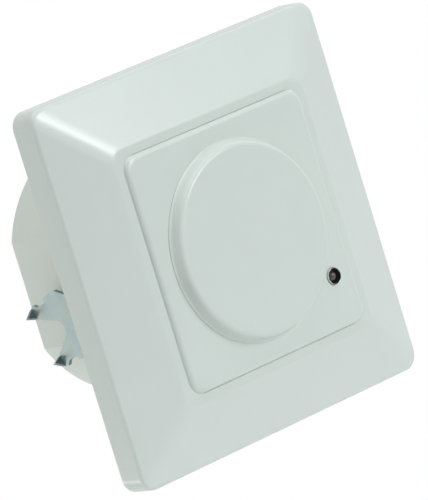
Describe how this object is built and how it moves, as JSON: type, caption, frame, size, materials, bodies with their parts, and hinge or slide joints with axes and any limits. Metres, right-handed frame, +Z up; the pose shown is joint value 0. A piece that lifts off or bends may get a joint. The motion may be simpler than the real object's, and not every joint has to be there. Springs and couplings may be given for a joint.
{
  "type": "flush-mounted motion sensor switch",
  "caption": "White square wall switch with a round sensor cap, a flush box housing and spreading side claws.",
  "frame": {"origin": "where the wall box's axis meets the wall plane, level with the cover frame's rear rim", "axes": "+X to the right seen from the room, +Y into the wall, +Z up; the front faces -Y"},
  "size_m": [0.08, 0.045, 0.08],
  "materials": {
    "frame_plastic": "smooth moulded white plastic, slightly glossy",
    "plate_plastic": "smooth moulded white plastic, slightly glossy",
    "cap_plastic": "fine-grained moulded white plastic, semi-gloss",
    "housing_plastic": "moulded white plastic, satin",
    "carrier_plastic": "moulded white plastic, satin",
    "ring_steel": "zinc-plated sheet steel",
    "claw_steel": "zinc-plated stamped sheet steel",
    "claw_screw_steel": "zinc-plated steel",
    "carrier_screw_steel": "zinc-plated steel",
    "bezel_metal": "bright plated ring",
    "sensor_lens": "dark clear resin dome",
    "sensor_board_laminate": "green solder-masked laminate",
    "main_board_laminate": "green solder-masked laminate",
    "shield_tin": "tinned sheet steel",
    "trimmer_plastic": "moulded blue plastic",
    "knob_plastic": "moulded white plastic",
    "chip_resin": "moulded black resin",
    "header_plastic": "moulded black plastic with plated pins",
    "relay_plastic": "moulded blue plastic",
    "film_capacitor_resin": "moulded yellow resin",
    "rectifier_resin": "moulded black resin",
    "capacitor_sleeve": "sleeved aluminium can",
    "fuse_plastic": "moulded brown plastic",
    "choke_ferrite": "ferrite drum in shrink sleeve",
    "varistor_coating": "dipped blue epoxy",
    "terminal_plastic": "moulded light grey plastic",
    "terminal_screw_steel": "zinc-plated steel",
    "cage_brass": "plain brass",
    "pin_metal": "tinned brass"
  },
  "bodies": {
    "device": {"rear_housing": "housing_plastic", "support_ring": "ring_steel", "front_carrier": "carrier_plastic", "carrier_screw_upper_left": "carrier_screw_steel", "carrier_screw_lower_right": "carrier_screw_steel", "sensor_board": "sensor_board_laminate", "radar_shield": "shield_tin", "trimmer_body_time": "trimmer_plastic", "trimmer_body_light": "trimmer_plastic", "trimmer_body_range": "trimmer_plastic", "controller_chip": "chip_resin", "board_header": "header_plastic", "main_board": "main_board_laminate", "relay": "relay_plastic", "film_capacitor": "film_capacitor_resin", "bridge_rectifier": "rectifier_resin", "smoothing_capacitor": "capacitor_sleeve", "output_capacitor": "capacitor_sleeve", "fuse": "fuse_plastic", "choke": "choke_ferrite", "varistor": "varistor_coating", "terminal_block": "terminal_plastic", "terminal_pin_1": "pin_metal", "terminal_pin_2": "pin_metal", "terminal_pin_3": "pin_metal", "light_sensor": "sensor_lens"},
    "frame": {"cover_frame": "frame_plastic"},
    "plate": {"centre_plate": "plate_plastic", "sensor_bezel": "bezel_metal"},
    "cap": {"round_cap": "cap_plastic"},
    "left_claw": {"claw_left": "claw_steel"},
    "right_claw": {"claw_right": "claw_steel"},
    "left_claw_screw": {"claw_screw_left": "claw_screw_steel"},
    "right_claw_screw": {"claw_screw_right": "claw_screw_steel"},
    "time_knob": {"trimmer_knob_time": "knob_plastic"},
    "light_knob": {"trimmer_knob_light": "knob_plastic"},
    "range_knob": {"trimmer_knob_range": "knob_plastic"},
    "clamp_screw_1": {"terminal_screw_1": "terminal_screw_steel"},
    "clamp_cage_1": {"terminal_cage_1": "cage_brass"},
    "clamp_screw_2": {"terminal_screw_2": "terminal_screw_steel"},
    "clamp_cage_2": {"terminal_cage_2": "cage_brass"},
    "clamp_screw_3": {"terminal_screw_3": "terminal_screw_steel"},
    "clamp_cage_3": {"terminal_cage_3": "cage_brass"}
  },
  "joints": [
    {"name": "cover_frame_pull", "type": "slide", "parent": "device", "child": "frame", "axis": [0, -1, 0], "range_m": [0, 0.012]},
    {"name": "centre_plate_pull", "type": "slide", "parent": "device", "child": "plate", "axis": [0, -1, 0], "range_m": [0, 0.012]},
    {"name": "round_cap_pull", "type": "slide", "parent": "plate", "child": "cap", "axis": [0, -1, 0], "range_m": [0, 0.008]},
    {"name": "claw_screw_left_turn", "type": "hinge", "parent": "device", "child": "left_claw_screw", "pos_m": [-0.03063, 0.00337, -0.00226], "axis": [0, 0.95, -0.3123], "range_deg": [-660, 600]},
    {"name": "claw_left_spread", "type": "hinge", "parent": "device", "child": "left_claw", "pos_m": [-0.02593, 0.0026, -0.0017], "axis": [-0.0633, 0.3058, 0.95], "range_deg": [-11, 10]},
    {"name": "claw_screw_right_turn", "type": "hinge", "parent": "device", "child": "right_claw_screw", "pos_m": [0.03063, 0.00337, -0.00226], "axis": [0, 0.95, -0.3123], "range_deg": [-660, 600]},
    {"name": "claw_right_spread", "type": "hinge", "parent": "device", "child": "right_claw", "pos_m": [0.02593, 0.0026, -0.0017], "axis": [-0.0633, -0.3058, -0.95], "range_deg": [-11, 10]},
    {"name": "time_setting_turn", "type": "hinge", "parent": "device", "child": "time_knob", "pos_m": [-0.011, -0.0097, -0.009], "axis": [0, 1, 0], "range_deg": [-135, 135]},
    {"name": "light_setting_turn", "type": "hinge", "parent": "device", "child": "light_knob", "pos_m": [0, -0.0097, -0.009], "axis": [0, 1, 0], "range_deg": [-135, 135]},
    {"name": "range_setting_turn", "type": "hinge", "parent": "device", "child": "range_knob", "pos_m": [0.011, -0.0097, -0.009], "axis": [0, 1, 0], "range_deg": [-135, 135]},
    {"name": "clamp_screw_1_turn", "type": "hinge", "parent": "device", "child": "clamp_screw_1", "pos_m": [-0.0075, 0.027, -0.0174], "axis": [0, -1, 0], "range_deg": [0, 1800]},
    {"name": "clamp_cage_1_lift", "type": "slide", "parent": "device", "child": "clamp_cage_1", "axis": [0, 1, 0], "range_m": [0, 0.0025]},
    {"name": "clamp_screw_2_turn", "type": "hinge", "parent": "device", "child": "clamp_screw_2", "pos_m": [0, 0.027, -0.0174], "axis": [0, -1, 0], "range_deg": [0, 1800]},
    {"name": "clamp_cage_2_lift", "type": "slide", "parent": "device", "child": "clamp_cage_2", "axis": [0, 1, 0], "range_m": [0, 0.0025]},
    {"name": "clamp_screw_3_turn", "type": "hinge", "parent": "device", "child": "clamp_screw_3", "pos_m": [0.0075, 0.027, -0.0174], "axis": [0, -1, 0], "range_deg": [0, 1800]},
    {"name": "clamp_cage_3_lift", "type": "slide", "parent": "device", "child": "clamp_cage_3", "axis": [0, 1, 0], "range_m": [0, 0.0025]}
  ],
  "couplings": [
    {"joint": "claw_left_spread", "follows": "claw_screw_left_turn", "ratio": 0.016667},
    {"joint": "claw_right_spread", "follows": "claw_screw_right_turn", "ratio": 0.016667},
    {"joint": "clamp_screw_1_turn", "follows": "clamp_cage_1_lift", "rad_per_m": 12566},
    {"joint": "clamp_screw_2_turn", "follows": "clamp_cage_2_lift", "rad_per_m": 12566},
    {"joint": "clamp_screw_3_turn", "follows": "clamp_cage_3_lift", "rad_per_m": 12566}
  ]
}
